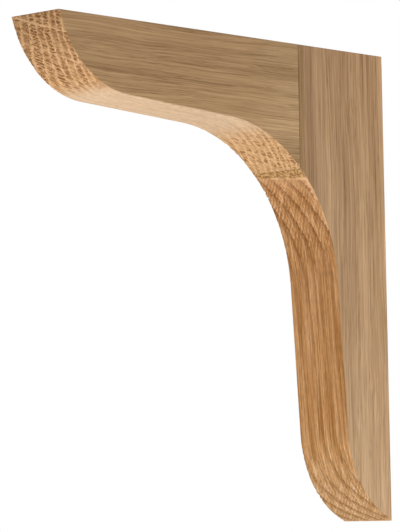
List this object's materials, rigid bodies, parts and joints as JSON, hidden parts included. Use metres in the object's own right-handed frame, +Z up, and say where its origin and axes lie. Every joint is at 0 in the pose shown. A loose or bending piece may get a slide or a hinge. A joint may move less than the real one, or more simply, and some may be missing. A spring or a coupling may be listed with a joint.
{
  "type": "corbel bracket",
  "caption": "Wooden wall corbel: a horizontal arm butted to an upright post, with an S-shaped curve sawn across the front of both boards.",
  "frame": {"origin": "centre of the flat back face, where the bracket meets the wall", "axes": "+Z up; +Y into the wall, so the arm reaches out along -Y; X across the thickness of the boards"},
  "size_m": [0.032, 0.235, 0.24],
  "materials": {
    "arm_oak": "oak, planed and sanded, no varnish; grain along the arm",
    "post_oak": "oak, planed and sanded, no varnish; grain upright"
  },
  "bodies": {
    "root": {"shelf_arm": "arm_oak", "wall_post": "post_oak"}
  },
  "joints": []
}
